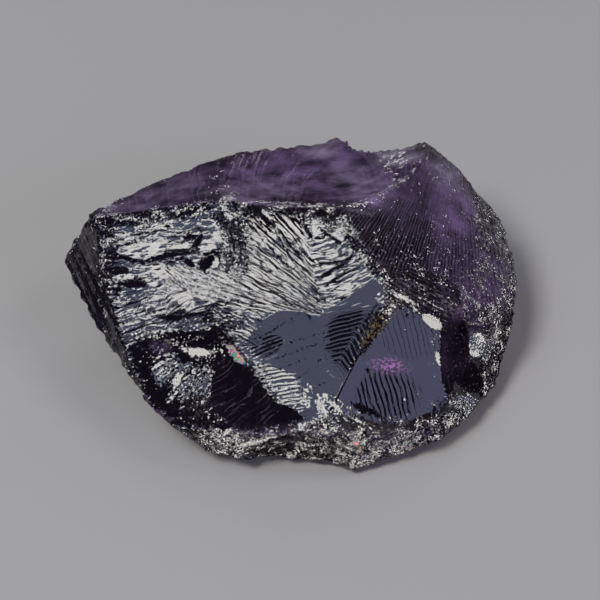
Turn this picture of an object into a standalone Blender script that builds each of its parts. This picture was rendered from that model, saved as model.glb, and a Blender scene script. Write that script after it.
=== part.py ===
"""Rough amethyst: one broken piece of quartz crystal, about 50 mm across, lying on its flat side.

The stone is what a hammer leaves: a body cut by smooth breaks, each one flat or a shallow
round hollow, that meet in sharp ridges. Each break is placed by the ridge corners that it runs
through, then every point of a gridded cube goes out from the stone's middle to the first
break it meets. Lengths in this file are millimetres until the last step.
"""
import math

import bmesh
import bpy
import numpy as np

# Driving dimensions, in millimetres
STONE_WIDTH = 50.3
GRID = 28
METRE = 0.001
# Share of a grid cell that a point may move to lie on a ridge
RIDGE_REACH = 0.55

# How the corners were read: picture columns and rows, and a height above the table.
# The left tip and the right edge are 453 columns apart.
WIDTH_IN_COLUMNS = 453
COLUMNS_PER_MM = WIDTH_IN_COLUMNS / STONE_WIDTH
PICTURE_MIDDLE = 300
VIEW_TILT = math.radians(45)
VIEW_DISTANCE = 260.0
VIEW_AIM = np.array((0.9, -4.32, 10.0))
FORWARD = np.array((0.0, math.cos(VIEW_TILT), -math.sin(VIEW_TILT)))
UPWARD = np.array((0.0, math.sin(VIEW_TILT), math.cos(VIEW_TILT)))
EYE = VIEW_AIM - FORWARD * VIEW_DISTANCE

# The point inside the stone from which its surface is measured
HEART = np.array((1.3, -0.92, 9.0))
# The directions are pressed flat, because the stone is wider than it is high
SPREAD = np.array((1.25, 1.15, 0.62))

# How rough each kind of break is, millimetres of unevenness
GLASSY = 0.06
SPLINTERY = 0.22
HACKLED = 0.34
CRUSHED = 0.5
CRUST = 0.6

# Scoops in the west face: picture column and row, length, width and depth in mm, turn in radians
WEST_HOLLOWS = (
    (135, 258, 2.6, 0.9, 0.45, 0.0),
    (180, 256, 2.4, 0.9, 0.5, 0.15),
    (217, 268, 2.0, 1.0, 0.5, -0.3),
    (143, 284, 1.2, 0.9, 0.45, 0.2),
    (165, 316, 3.0, 0.8, 0.3, 0.25),
    (205, 300, 2.6, 0.8, 0.3, 0.35),
)


def sight(column, row):
    """direction from the eye through a point of the picture"""
    focal = VIEW_DISTANCE * COLUMNS_PER_MM
    ray = FORWARD * focal + UPWARD * (PICTURE_MIDDLE - row)
    ray[0] += column - PICTURE_MIDDLE
    return ray / np.linalg.norm(ray)


def seen(column, row, height):
    """the point at that height which the picture shows at that column and row"""
    ray = sight(column, row)
    return EYE + ray * (height - EYE[2]) / ray[2]


class Break:
    """one broken face: flat, hollow (radius above 0, centre outside) or domed (below 0)"""

    def __init__(self, centre, facing, radius, rough):
        self.centre = centre
        self.facing = facing
        self.radius = radius
        self.rough = rough

    def distance(self, start, directions, from_inside=True):
        """how far the face is from a point along each direction"""
        far = np.full(len(directions), 1000.0)
        if self.radius is None:
            slope = directions @ self.facing
            ahead = np.abs(slope) > 1e-6
            far[ahead] = np.dot(self.facing, self.centre - start) / slope[ahead]
            return np.where(far > 0, far, 1000.0)
        offset = start - self.centre
        half = directions @ offset
        inside = half * half - (offset @ offset - self.radius ** 2)
        met = inside > 0
        root = np.sqrt(np.where(met, inside, 0.0))
        hollow = self.radius > 0
        if hollow:
            met &= half < 0
        nearer_side = hollow == from_inside
        far[met] = (-half - root if nearer_side else -half + root)[met]
        return far


breaks = {}


def on(name, column, row):
    """the point of a break that the picture shows at that column and row"""
    ray = sight(column, row)
    return EYE + ray * breaks[name].distance(EYE, ray[None], from_inside=False)[0]


def through(name, a, b, c, rough, radius=None):
    """break through three points; a radius above 0 hollows it, below 0 domes it"""
    ab, ac = b - a, c - a
    facing = np.cross(ab, ac)
    to_middle = np.dot(ac, ac) * np.cross(facing, ab) + np.dot(ab, ab) * np.cross(ac, facing)
    to_middle = to_middle / (2 * np.dot(facing, facing))
    middle = a + to_middle
    facing = facing / np.linalg.norm(facing)
    if np.dot(facing, middle - HEART) < 0:
        facing = -facing
    if radius is not None:
        rise = math.sqrt(radius ** 2 - np.dot(to_middle, to_middle))
        middle = middle + facing * math.copysign(rise, radius)
    breaks[name] = Break(middle, facing, radius, rough)


def facing_way(name, point, compass, rise, rough):
    """flat break through a point, facing a compass angle and so many degrees up"""
    turn, lift = math.radians(compass), math.radians(rise)
    level = math.cos(lift)
    facing = np.array((math.cos(turn) * level, math.sin(turn) * level, math.sin(lift)))
    breaks[name] = Break(point, facing, None, rough)


def undercut(name, a, b, run, rough=CRUST):
    """flat break under the rim from a to b, its foot on the table run millimetres further in"""
    along = b - a
    inward = np.array((-along[1], along[0], 0.0)) / np.hypot(along[0], along[1])
    middle = (a + b) / 2
    if np.dot(inward, HEART - middle) < 0:
        inward = -inward
    foot = middle + inward * run
    foot[2] = 0.0
    through(name, a, b, foot, rough)


def bowl(name, centre, radius, rough):
    """round bite out of the stone"""
    breaks[name] = Break(centre, None, radius, rough)


def top_breaks():
    """the glassy faces that look up, with the crest between them and the back"""
    crest_west = seen(232, 200, 19.0)
    crest_east = seen(340, 207, 20.3)
    shoulder = seen(98, 217, 15.6)
    left_tip = seen(62, 254, 9.0)
    through("main", crest_west, crest_east, seen(308, 421, 8.0), GLASSY, 90)
    through("east", crest_east, on("main", 387, 289), seen(478, 275, 11.0), GLASSY, -110)
    through("back_bowl", crest_east, crest_west, seen(320, 138, 11.5), SPLINTERY, 46)
    through("back_west", crest_west, shoulder, seen(175, 170, 12.6), SPLINTERY, -200)
    through("west", shoulder, crest_west, on("main", 212, 340), HACKLED, 120)
    through("cheek", shoulder, on("west", 118, 335), left_tip, HACKLED, -90)
    through("blue_east", on("main", 392, 295), on("main", 335, 402), seen(448, 385, 7.0), GLASSY, 70)
    through("strip", on("east", 388, 275), on("east", 470, 297), on("blue_east", 421, 314), SPLINTERY)


def rim_breaks():
    """the rougher faces round the front and the right"""
    through("dark_east", on("blue_east", 444, 330), on("blue_east", 450, 395), seen(500, 345, 5.0),
            SPLINTERY, 60)
    through("east_rim", on("east", 463, 190), on("east", 480, 265), seen(511, 248, 7.5), CRUSHED, -60)
    through("rim_west", on("west", 128, 345), on("main", 239, 357), on("main", 300, 435), CRUSHED, 100)
    through("dark_south", on("rim_west", 232, 352), on("rim_west", 210, 397), on("rim_west", 281, 408),
            GLASSY, 80)
    facing_way("rim_southwest", on("rim_west", 262, 433), -104, 8, CRUSHED)
    facing_way("rim_southeast", on("blue_east", 380, 425), -72, 12, CRUSHED)
    facing_way("rim_east", on("blue_east", 447, 400), -48, 20, CRUSHED)
    through("south_scoop", seen(270, 458, 1.6), seen(342, 465, 1.2), seen(305, 449, 3.0), CRUSHED, 14)
    notch_depth = np.array((2.3, 4.9, -0.8))
    bowl("back_notch", seen(381, 151, 12.0) + notch_depth, 6.8, CRUSHED)


def under_breaks():
    """the undersides, which the picture hides, and the flat face that the stone lies on"""
    undercut("under_left", on("cheek", 64, 262), on("cheek", 106, 348), 7)
    undercut("under_west", on("cheek", 106, 346), on("rim_west", 141, 396), 5)
    undercut("under_front_west", on("rim_west", 146, 402), on("rim_west", 196, 449), 4)
    undercut("under_front", seen(196, 449, 2.2), seen(256, 463, 1.6), 3)
    undercut("under_middle", seen(240, 460, 1.7), seen(356, 472, 1.0), 3)
    undercut("under_front_east", seen(358, 473, 1.0), seen(448, 438, 2.0), 3)
    undercut("under_east_low", seen(448, 438, 2.0), seen(482, 402, 2.2), 4)
    facing_way("under_east_corner", on("dark_east", 499, 382), -24, -15, CRUST)
    facing_way("under_east", on("dark_east", 511, 340), -8, -25, CRUST)
    undercut("under_far_east", seen(515, 315, 6.2), on("east_rim", 517, 268), 3)
    undercut("under_northeast", on("east_rim", 517, 268), on("east_rim", 506, 226), 6)
    undercut("under_north", on("east_rim", 506, 227), on("east", 466, 172), 3)
    undercut("under_notch", on("east", 466, 172), seen(406, 145, 13.3), 1)
    facing_way("under_back_east", seen(345, 134, 11.5), 63, -12, CRUST)
    undercut("under_back", seen(345, 134, 11.7), seen(237, 149, 12.6), 5)
    undercut("under_back_west", seen(237, 150, 12.6), seen(168, 173, 13.3), 4)
    facing_way("under_back_far_west", seen(122, 193, 14.4), 132, 5, CRUST)
    facing_way("under_shoulder", seen(104, 200, 11.0), 140, -40, CRUST)
    facing_way("under_nose", seen(71, 231, 11.4), 152, 5, CRUST)
    facing_way("under_tip", seen(61, 250, 9.0), 172, -40, CRUST)
    facing_way("resting_face", np.zeros(3), 0, -90, 0.0)


def first_breaks(directions):
    """distance to the first and the second break along each direction, and which two they are"""
    far = np.stack([face.distance(HEART, directions) for face in breaks.values()])
    order = np.argsort(far, axis=0)[:2]
    rows = np.arange(len(directions))
    return far[order[0], rows], far[order[1], rows], order[0], order[1]


def looks(places):
    """the direction from the middle that each point of the gridded cube stands for, evenly turned"""
    turned = np.tan(places * (math.pi / 4)) * SPREAD
    return turned / np.linalg.norm(turned, axis=1)[:, None]


def ridge_gap(places):
    """how much further the second break is than the first; nothing on a ridge"""
    near, second, _, _ = first_breaks(looks(places))
    return second - near


def onto_ridges(places):
    """slides each grid point that has a ridge within half a cell, so that an edge lies on it"""
    step = 1e-3
    cell = 2.0 / GRID
    order = np.argsort(np.abs(places), axis=1)
    side = np.eye(3)[order[:, 0]]
    other = np.eye(3)[order[:, 1]]
    moved = places
    for sweep in range(3):
        gap = ridge_gap(moved)
        slope_side = (ridge_gap(moved + side * step) - gap) / step
        slope_other = (ridge_gap(moved + other * step) - gap) / step
        turn = -gap / (slope_side ** 2 + slope_other ** 2 + 1e-9)
        tried = moved + side * (slope_side * turn)[:, None] + other * (slope_other * turn)[:, None]
        close = np.linalg.norm(tried - places, axis=1) < RIDGE_REACH * cell
        moved = np.where(close[:, None], tried, moved)
    return moved


def scrambled(cells, seed):
    """a repeatable random whole number for each cell of space"""
    code = cells[:, 0] * 73856093 ^ cells[:, 1] * 19349663 ^ cells[:, 2] * 83492791 ^ seed * 961748927
    code = (code ^ (code >> 13)) * 1274126177
    return (code ^ (code >> 16)) & 0x3FFFFFFF


def lumps(points, size, seed):
    """smooth uneven waves of one size, from -1 to 1"""
    place = points / size
    corner = np.floor(place).astype(np.int64)
    inside = place - corner
    ease = inside * inside * inside * (inside * (inside * 6 - 15) + 10)
    total = np.zeros(len(points))
    for dx in (0, 1):
        for dy in (0, 1):
            for dz in (0, 1):
                code = scrambled(corner + (dx, dy, dz), seed)
                turn = (code % 4096) * (2 * math.pi / 4096)
                lift = ((code >> 12) % 4096) / 2048 - 1
                level = np.sqrt(1 - lift * lift)
                away = inside - (dx, dy, dz)
                lean = away[:, 0] * np.cos(turn) + away[:, 1] * np.sin(turn)
                lean = lean * level + away[:, 2] * lift
                share = np.where(dx, ease[:, 0], 1 - ease[:, 0])
                share = share * np.where(dy, ease[:, 1], 1 - ease[:, 1])
                share = share * np.where(dz, ease[:, 2], 1 - ease[:, 2])
                total += share * lean
    return total * 1.6


def chips(points, size, seed):
    """small hollows of one size, side by side, that meet in sharp edges; about -0.5 to 1"""
    place = points / size
    corner = np.floor(place).astype(np.int64)
    nearest = np.full(len(points), 9.0)
    for dx in (-1, 0, 1):
        for dy in (-1, 0, 1):
            for dz in (-1, 0, 1):
                here = corner + (dx, dy, dz)
                code = scrambled(here, seed)
                jitter = np.stack([code % 1024, (code >> 10) % 1024, (code >> 20) % 1024], axis=1)
                away = place - here - (jitter + 0.5) / 1024
                nearest = np.minimum(nearest, (away * away).sum(axis=1))
    return 1.7 * nearest - 0.5


def roughness(near, second, first, other):
    """millimetres of unevenness at each point, blended where two breaks meet"""
    rough = np.array([face.rough for face in breaks.values()])
    ridge = np.exp(-(second - near) / 0.8)
    return rough[first] + (rough[other] - rough[first]) * 0.5 * ridge


def ledges(points):
    """long shallow steps, wider across the stone than down its slope"""
    return chips(points * (0.5, 1.0, 1.0), 3.2, 11)


def hollows(points):
    """the long scoops in the west face: column, row, length, width, depth and turn"""
    depth = np.zeros(len(points))
    for column, row, length, width, deep, turn in WEST_HOLLOWS:
        middle = on("west", column, row)
        along = np.array((math.cos(turn), math.sin(turn), 0.0))
        offset = points - middle
        run = offset @ along
        across = offset - run[:, None] * along
        depth += deep * np.exp(-(run / length) ** 2 - (across * across).sum(axis=1) / width ** 2)
    return depth


def settled(relief, near, second):
    """lowers what stands proud close to a ridge, so that the ridges stay where they are seen"""
    edge = np.exp(-(second - near) / 1.4)
    return np.where(relief > 0, relief * (1 - edge), relief)


def surface(directions):
    """the stone's surface point along each direction, with its lumps, ledges and pits"""
    near, second, first, other = first_breaks(directions)
    flat = HEART + directions * near[:, None]
    rough = roughness(near, second, first, other)
    uneven = 0.7 * lumps(flat, 8.0, 3) + 0.7 * chips(flat, 4.6, 5) + 0.5 * ledges(flat) - 0.2
    relief = settled(rough * uneven, near, second) - hollows(flat)
    lying = list(breaks).index("resting_face")
    height = np.clip(flat[:, 2] / 1.2, 0, 1)
    height = np.where(first == lying, 0.0, height)
    return flat + directions * (relief * height)[:, None]


def split_squares(mesh, points):
    """cuts each square in two along the diagonal that lies closer to the stone"""
    mesh.faces.ensure_lookup_table()
    squares = list(mesh.faces)
    ways = []
    for first, second in ((0, 2), (1, 3)):
        a = np.array([face.verts[first].index for face in squares])
        b = np.array([face.verts[second].index for face in squares])
        middle = (points[a] + points[b]) / 2
        look = middle - HEART
        reach = np.linalg.norm(look, axis=1)
        true = surface(look / reach[:, None]) - HEART
        ways.append(np.abs(np.linalg.norm(true, axis=1) - reach))
    for face, use_second in zip(squares, ways[1] < ways[0]):
        ends = (face.verts[1], face.verts[3]) if use_second else (face.verts[0], face.verts[2])
        bmesh.utils.face_split(face, *ends)


def stone_mesh():
    """a cube with a grid on its sides, grown out to the stone's surface"""
    mesh = bmesh.new()
    bmesh.ops.create_cube(mesh, size=2.0)
    bmesh.ops.subdivide_edges(mesh, edges=mesh.edges[:], cuts=GRID - 1, use_grid_fill=True)
    mesh.verts.index_update()
    places = np.array([vertex.co[:] for vertex in mesh.verts])
    points = surface(looks(onto_ridges(places)))
    split_squares(mesh, points)
    for vertex, point in zip(mesh.verts, points):
        vertex.co = point * METRE
    return mesh


def amethyst_material():
    """broken purple quartz: dark violet in the mass, glassy, clear where it is thin"""
    material = bpy.data.materials.new("amethyst, broken")
    material.use_nodes = True
    shader = material.node_tree.nodes["Principled BSDF"]
    shader.inputs["Base Color"].default_value = (0.075, 0.045, 0.105, 1.0)
    shader.inputs["Roughness"].default_value = 0.12
    shader.inputs["Metallic"].default_value = 0.0
    shader.inputs["IOR"].default_value = 1.544
    material.diffuse_color = (0.075, 0.045, 0.105, 1.0)
    return material


def main():
    for thing in list(bpy.data.objects):
        bpy.data.objects.remove(thing, do_unlink=True)
    top_breaks()
    rim_breaks()
    under_breaks()
    group = bpy.data.collections.new("rough amethyst")
    bpy.context.scene.collection.children.link(group)
    data = bpy.data.meshes.new("amethyst")
    mesh = stone_mesh()
    mesh.to_mesh(data)
    mesh.free()
    data.materials.append(amethyst_material())
    group.objects.link(bpy.data.objects.new("amethyst", data))


main()
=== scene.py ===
"""Looks of the rough amethyst: one broken piece of quartz, about 50 mm across.

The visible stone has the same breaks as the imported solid, on a finer grid, with the chips,
ledges and crushed grain that the solid leaves out. Lines too fine for the grid are relief
in the material, laid out by what each corner of the mesh carries. Lengths are millimetres
until the mesh is made; picture columns and rows place what only the picture shows.
"""
import itertools
import math

import bpy
import numpy as np
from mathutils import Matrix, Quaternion, Vector


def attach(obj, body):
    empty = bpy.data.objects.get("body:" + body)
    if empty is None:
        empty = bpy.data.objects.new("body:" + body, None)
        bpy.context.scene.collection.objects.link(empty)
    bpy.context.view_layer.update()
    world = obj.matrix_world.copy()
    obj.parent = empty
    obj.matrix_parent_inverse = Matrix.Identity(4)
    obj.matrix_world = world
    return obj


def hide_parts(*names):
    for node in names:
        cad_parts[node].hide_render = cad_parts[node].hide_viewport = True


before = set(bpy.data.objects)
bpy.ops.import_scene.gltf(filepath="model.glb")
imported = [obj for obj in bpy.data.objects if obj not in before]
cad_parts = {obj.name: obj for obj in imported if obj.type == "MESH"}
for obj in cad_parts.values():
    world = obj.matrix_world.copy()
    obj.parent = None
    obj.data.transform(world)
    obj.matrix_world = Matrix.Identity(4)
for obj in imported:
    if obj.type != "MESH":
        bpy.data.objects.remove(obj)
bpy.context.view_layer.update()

# Millimetres to metres
METRE = 0.001

# The picture: 453 columns span the stone's 50.3 mm, seen 45 degrees from above
COLUMNS_PER_MM = 453 / 50.3
PICTURE_MIDDLE = 300
PICTURE_WIDTH = 600
VIEW_TILT = math.radians(45)
VIEW_DISTANCE = 260.0
VIEW_AIM = np.array((0.9, -4.32, 10.0))
FORWARD = np.array((0.0, math.cos(VIEW_TILT), -math.sin(VIEW_TILT)))
UPWARD = np.array((0.0, math.sin(VIEW_TILT), math.cos(VIEW_TILT)))
EYE = VIEW_AIM - FORWARD * VIEW_DISTANCE
FOCAL = VIEW_DISTANCE * COLUMNS_PER_MM
SENSOR_WIDTH = 36.0

# The point inside the stone from which its surface is measured, and how directions are pressed flat
HEART = np.array((1.3, -0.92, 9.0))
SPREAD = np.array((1.25, 1.15, 0.62))

# Distance that stands for a break which a direction never meets, mm
NEVER_MET = 1000.0
# Grid cells along each side of the top patch, and rows from there down to the resting face
TOP_CELLS = 210
SIDE_ROWS = 60
# Share of a grid cell that a point may move to lie on a ridge
RIDGE_REACH = 0.55
# How far down the gridded block the resting face is looked for, its top patch being at 1
BLOCK_FOOT = -1.9

# How rough each kind of break is, millimetres of unevenness
GLASSY = 0.06
SPLINTERY = 0.22
HACKLED = 0.34
CRUSHED = 0.5
CRUST = 0.6

# Scoops in the west face: picture column and row, length, width and depth in mm, turn in radians
WEST_HOLLOWS = (
    (112, 256, 0.8, 1.0, 0.6, 0.0),
    (130, 260, 1.6, 0.40, 0.35, -0.4),
    (170, 257, 3.0, 0.45, 0.40, 0.25),
    (207, 263, 1.0, 0.8, 0.5, 0.9),
    (134, 284, 1.4, 0.5, 0.4, 0.0),
    (170, 317, 1.8, 0.45, 0.35, 0.0),
    (200, 315, 2.0, 0.35, 0.25, 0.1),
    (198, 344, 1.3, 0.5, 0.5, 0.0),
)
# Where along its width a line is deepest: it slopes gently up to here and quickly back
LINE_TOP = 0.9
# How far the lines bend out of their way, in widths of a line
LINE_BEND = 0.35
# How far from a ridge its roughness blends and the relief settles, and how wide its crushed grain is, mm
RIDGE_BLEND = 0.8
RIDGE_SETTLED = 1.4
RIDGE_GRAIN = 0.35
CREST_GRAIN = 0.5
# Height above the table over which the relief fades out, mm
TABLE_FADE = 1.2
# Lumps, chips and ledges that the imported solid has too: size in mm, and seed
LUMPS = (8.0, 3)
CHIPS = (4.6, 5)
LEDGES = (3.2, 11)
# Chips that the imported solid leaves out: size and height in mm, and seed
FINE_CHIPS = ((1.9, 0.38, 21), (0.9, 0.22, 22))
# How rough the west face counts for them
WEST_ROUGH = 0.15
# Torn ledges of the west face: which way they run, size and seed, height, and how far they wander
HACKLES_RUN = (0.96, 0.28)
HACKLES = (1.9, 32)
HACKLE_HEIGHT = 0.10
HACKLES_WANDER = 1.4


def sight(column, row):
    """direction from the eye through a point of the picture"""
    ray = FORWARD * FOCAL + UPWARD * (PICTURE_MIDDLE - row)
    ray[0] += column - PICTURE_MIDDLE
    return ray / np.linalg.norm(ray)


def seen(column, row, height):
    """the point at that height which the picture shows at that column and row"""
    ray = sight(column, row)
    return EYE + ray * (height - EYE[2]) / ray[2]


def picture(points):
    """picture column and row of each point"""
    offset = points - EYE
    depth = offset @ FORWARD
    column = PICTURE_MIDDLE + FOCAL * offset[:, 0] / depth
    row = PICTURE_MIDDLE - FOCAL * (offset @ UPWARD) / depth
    return column, row


class Break:
    """one broken face: flat, hollow (radius above 0, centre outside) or domed (below 0)"""

    def __init__(self, centre, facing, radius, rough):
        self.centre = centre
        self.facing = facing
        self.radius = radius
        self.rough = rough

    def distance(self, start, directions, from_inside=True):
        """how far the face is from a point along each direction"""
        far = np.full(len(directions), NEVER_MET)
        if self.radius is None:
            slope = directions @ self.facing
            ahead = np.abs(slope) > 1e-6
            far[ahead] = np.dot(self.facing, self.centre - start) / slope[ahead]
            return np.where(far > 0, far, NEVER_MET)
        offset = start - self.centre
        half = directions @ offset
        inside = half * half - (offset @ offset - self.radius ** 2)
        met = inside > 0
        root = np.sqrt(np.where(met, inside, 0.0))
        hollow = self.radius > 0
        if hollow:
            met &= half < 0
        nearer_side = hollow == from_inside
        far[met] = (-half - root if nearer_side else -half + root)[met]
        return far


breaks = {}


def on(name, column, row):
    """the point of a break that the picture shows at that column and row"""
    ray = sight(column, row)
    return EYE + ray * breaks[name].distance(EYE, ray[None], from_inside=False)[0]


def through(name, a, b, c, rough, radius=None):
    """break through three points; a radius above 0 hollows it, below 0 domes it"""
    ab, ac = b - a, c - a
    facing = np.cross(ab, ac)
    to_middle = np.dot(ac, ac) * np.cross(facing, ab) + np.dot(ab, ab) * np.cross(ac, facing)
    to_middle = to_middle / (2 * np.dot(facing, facing))
    middle = a + to_middle
    facing = facing / np.linalg.norm(facing)
    if np.dot(facing, middle - HEART) < 0:
        facing = -facing
    if radius is not None:
        off = math.sqrt(radius ** 2 - np.dot(to_middle, to_middle))
        middle = middle + facing * math.copysign(off, radius)
    breaks[name] = Break(middle, facing, radius, rough)


def way(compass, height):
    """unit vector to a compass direction, counted from +X, and height, both in degrees"""
    turn, lift = math.radians(compass), math.radians(height)
    return np.array((math.cos(turn) * math.cos(lift), math.sin(turn) * math.cos(lift), math.sin(lift)))


def facing_way(name, point, compass, height, rough):
    """flat break through a point, facing a compass angle and so many degrees up"""
    breaks[name] = Break(point, way(compass, height), None, rough)


def undercut(name, a, b, run, rough=CRUST):
    """flat break under the rim from a to b, its foot on the table run millimetres further in"""
    along = b - a
    inward = np.array((-along[1], along[0], 0.0)) / np.hypot(along[0], along[1])
    middle = (a + b) / 2
    if np.dot(inward, HEART - middle) < 0:
        inward = -inward
    foot = middle + inward * run
    foot[2] = 0.0
    through(name, a, b, foot, rough)


def bowl(name, centre, radius, rough):
    """round bite out of the stone"""
    breaks[name] = Break(centre, None, radius, rough)


def top_breaks():
    """the glassy faces that look up, with the crest between them and the back"""
    crest_west = seen(232, 200, 19.0)
    crest_east = seen(340, 207, 20.3)
    shoulder = seen(98, 217, 15.6)
    left_tip = seen(62, 254, 9.0)
    through("main", crest_west, crest_east, seen(308, 421, 8.0), GLASSY, 90)
    through("east", crest_east, on("main", 387, 289), seen(478, 275, 11.0), GLASSY, -110)
    through("back_bowl", crest_east, crest_west, seen(320, 138, 11.5), SPLINTERY, 46)
    through("back_west", crest_west, shoulder, seen(175, 170, 12.6), SPLINTERY, -200)
    through("west", shoulder, crest_west, on("main", 212, 340), HACKLED, 120)
    through("cheek", shoulder, on("west", 118, 335), left_tip, HACKLED, -90)
    through("blue_east", on("main", 392, 295), on("main", 335, 402), seen(448, 385, 7.0), GLASSY, 70)
    through("strip", on("east", 388, 275), on("east", 470, 297), on("blue_east", 421, 314), SPLINTERY)


def rim_breaks():
    """the rougher faces round the front and the right"""
    through("dark_east", on("blue_east", 444, 330), on("blue_east", 450, 395), seen(500, 345, 5.0),
            SPLINTERY, 60)
    through("east_rim", on("east", 463, 190), on("east", 480, 265), seen(511, 248, 7.5), CRUSHED, -60)
    through("rim_west", on("west", 128, 345), on("main", 239, 357), on("main", 300, 435), CRUSHED, 100)
    through("dark_south", on("rim_west", 232, 352), on("rim_west", 210, 397), on("rim_west", 281, 408),
            GLASSY, 80)
    facing_way("rim_southwest", on("rim_west", 262, 433), -104, 8, CRUSHED)
    facing_way("rim_southeast", on("blue_east", 380, 425), -72, 12, CRUSHED)
    facing_way("rim_east", on("blue_east", 447, 400), -48, 20, CRUSHED)
    through("south_scoop", seen(270, 458, 1.6), seen(342, 465, 1.2), seen(305, 449, 3.0), CRUSHED, 14)
    notch_depth = np.array((2.3, 4.9, -0.8))
    bowl("back_notch", seen(381, 151, 12.0) + notch_depth, 6.8, CRUSHED)


def under_breaks():
    """the undersides, which the picture hides, and the flat face that the stone lies on"""
    undercut("under_left", on("cheek", 64, 262), on("cheek", 106, 348), 7)
    undercut("under_west", on("cheek", 106, 346), on("rim_west", 141, 396), 5)
    undercut("under_front_west", on("rim_west", 146, 402), on("rim_west", 196, 449), 4)
    undercut("under_front", seen(196, 449, 2.2), seen(256, 463, 1.6), 3)
    undercut("under_middle", seen(240, 460, 1.7), seen(356, 472, 1.0), 3)
    undercut("under_front_east", seen(358, 473, 1.0), seen(448, 438, 2.0), 3)
    undercut("under_east_low", seen(448, 438, 2.0), seen(482, 402, 2.2), 4)
    facing_way("under_east_corner", on("dark_east", 499, 382), -24, -15, CRUST)
    facing_way("under_east", on("dark_east", 511, 340), -8, -25, CRUST)
    undercut("under_far_east", seen(515, 315, 6.2), on("east_rim", 517, 268), 3)
    undercut("under_northeast", on("east_rim", 517, 268), on("east_rim", 506, 226), 6)
    undercut("under_north", on("east_rim", 506, 227), on("east", 466, 172), 3)
    undercut("under_notch", on("east", 466, 172), seen(406, 145, 13.3), 1)
    facing_way("under_back_east", seen(345, 134, 11.5), 63, -12, CRUST)
    undercut("under_back", seen(345, 134, 11.7), seen(237, 149, 12.6), 5)
    undercut("under_back_west", seen(237, 150, 12.6), seen(168, 173, 13.3), 4)
    facing_way("under_back_far_west", seen(122, 193, 14.4), 132, 5, CRUST)
    facing_way("under_shoulder", seen(104, 200, 11.0), 140, -40, CRUST)
    facing_way("under_nose", seen(71, 231, 11.4), 152, 5, CRUST)
    facing_way("under_tip", seen(61, 250, 9.0), 172, -40, CRUST)
    facing_way("resting_face", np.zeros(3), 0, -90, 0.0)


def first_breaks(directions):
    """distance to the first and the second break along each direction, and which two they are"""
    far = np.stack([face.distance(HEART, directions) for face in breaks.values()])
    order = np.argsort(far, axis=0)[:2]
    rows = np.arange(len(directions))
    return far[order[0], rows], far[order[1], rows], order[0], order[1]


def index_of(name):
    return list(breaks).index(name)


def looks(places):
    """the direction from the middle that each point of the gridded block stands for, evenly turned"""
    turned = np.tan(places * (math.pi / 4)) * SPREAD
    return turned / np.linalg.norm(turned, axis=1)[:, None]


def ridge_gap(places):
    """how much further the second break is than the first; nothing on a ridge"""
    near, second, _, _ = first_breaks(looks(places))
    return second - near


def onto_ridges(places, side, other, cell):
    """slides each grid point that has a ridge within half a cell, so that an edge lies on it"""
    step = 1e-3
    moved = places
    for sweep in range(3):
        gap = ridge_gap(moved)
        slope_side = (ridge_gap(moved + side * step) - gap) / step
        slope_other = (ridge_gap(moved + other * step) - gap) / step
        turn = -gap / (slope_side ** 2 + slope_other ** 2 + 1e-9)
        tried = moved + side * (slope_side * turn)[:, None] + other * (slope_other * turn)[:, None]
        close = np.linalg.norm(tried - places, axis=1) < RIDGE_REACH * cell
        moved = np.where(close[:, None], tried, moved)
    return moved


def scrambled(cells, seed):
    """a repeatable random whole number for each cell of space"""
    code = cells[:, 0] * 73856093 ^ cells[:, 1] * 19349663 ^ cells[:, 2] * 83492791 ^ seed * 961748927
    code = (code ^ (code >> 13)) * 1274126177
    return (code ^ (code >> 16)) & 0x3FFFFFFF


def lumps(points, size, seed):
    """smooth uneven waves of one size, from -1 to 1"""
    place = points / size
    corner = np.floor(place).astype(np.int64)
    inside = place - corner
    ease = inside * inside * inside * (inside * (inside * 6 - 15) + 10)
    total = np.zeros(len(points))
    for step in itertools.product((0, 1), repeat=3):
        code = scrambled(corner + step, seed)
        turn = (code % 4096) * (2 * math.pi / 4096)
        lift = ((code >> 12) % 4096) / 2048 - 1
        level = np.sqrt(1 - lift * lift)
        away = inside - step
        lean = (away[:, 0] * np.cos(turn) + away[:, 1] * np.sin(turn)) * level + away[:, 2] * lift
        total += np.where(step, ease, 1 - ease).prod(axis=1) * lean
    return total * 1.6


def chips(points, size, seed):
    """small hollows of one size, side by side, that meet in sharp edges; about -0.5 to 1"""
    place = points / size
    corner = np.floor(place).astype(np.int64)
    nearest = np.full(len(points), 9.0)
    for step in itertools.product((-1, 0, 1), repeat=3):
        here = corner + step
        code = scrambled(here, seed)
        jitter = np.stack([code % 1024, (code >> 10) % 1024, (code >> 20) % 1024], axis=1)
        away = place - here - (jitter + 0.5) / 1024
        nearest = np.minimum(nearest, (away * away).sum(axis=1))
    return 1.7 * nearest - 0.5


def roughness(near, second, first, other):
    """millimetres of unevenness at each point, blended where two breaks meet"""
    rough = np.array([face.rough for face in breaks.values()])
    ridge = np.exp(-(second - near) / RIDGE_BLEND)
    return rough[first] + (rough[other] - rough[first]) * 0.5 * ridge


def ledges(points):
    """long shallow steps, wider across the stone than down its slope"""
    return chips(points * (0.5, 1.0, 1.0), *LEDGES)


def hollows(points):
    """the long scoops in the west face: column, row, length, width, depth and turn"""
    depth = np.zeros(len(points))
    for column, row, length, width, deep, turn in WEST_HOLLOWS:
        middle = on("west", column, row)
        along = np.array((math.cos(turn), math.sin(turn), 0.0))
        offset = points - middle
        run = offset @ along
        across = offset - run[:, None] * along
        depth += deep * np.exp(-(run / length) ** 2 - (across * across).sum(axis=1) / width ** 2)
    return depth


def rise(low, high, value):
    """eases from 0 at low to 1 at high"""
    share = np.clip((value - low) / (high - low), 0, 1)
    return share * share * (3 - 2 * share)


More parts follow.
